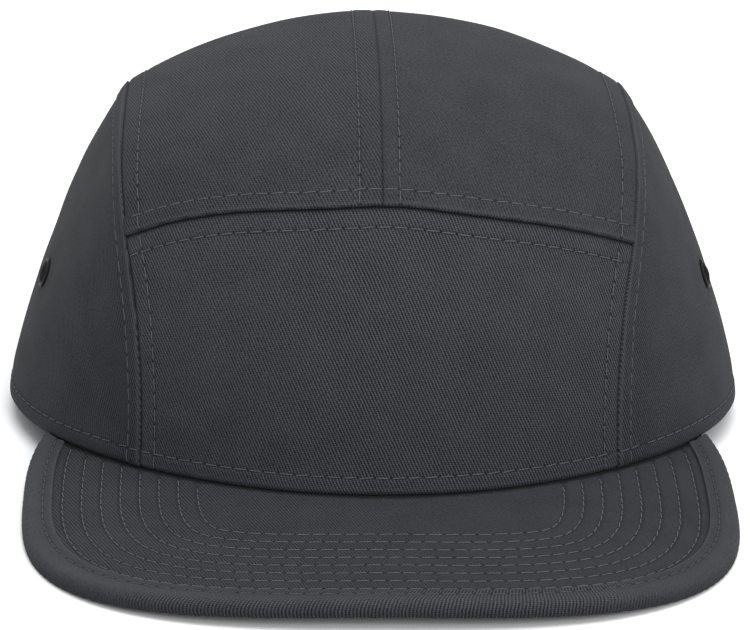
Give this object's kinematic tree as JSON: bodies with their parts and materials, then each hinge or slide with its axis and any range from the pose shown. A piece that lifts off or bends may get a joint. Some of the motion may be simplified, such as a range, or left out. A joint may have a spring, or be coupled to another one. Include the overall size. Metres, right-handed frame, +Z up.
{
  "type": "five panel cap",
  "caption": "Low cotton twill cap with a flat bound visor, one front panel, side and top panels, side eyelets and a strap at the back.",
  "frame": {"origin": "centre of the bounding box's floor, on the surface that the cap stands on", "axes": "+X to the wearer's left, -Y the way the visor points, +Z up"},
  "size_m": [0.1888, 0.2572, 0.1011],
  "materials": {
    "twill": "matt charcoal cotton twill",
    "band_cloth": "matt charcoal cotton, darker than the twill",
    "webbing": "ribbed charcoal webbing",
    "black_metal": "satin black",
    "black_plastic": "fine satin black"
  },
  "bodies": {
    "root": {"front_panel": "twill", "top_panel_left": "twill", "top_panel_right": "twill", "side_panel_left": "twill", "side_panel_right": "twill", "sweatband": "band_cloth", "visor": "twill", "visor_binding": "twill", "eyelet_left": "black_metal", "eyelet_right": "black_metal", "strap_left": "webbing", "strap_right": "webbing", "clasp": "black_plastic"}
  },
  "joints": []
}
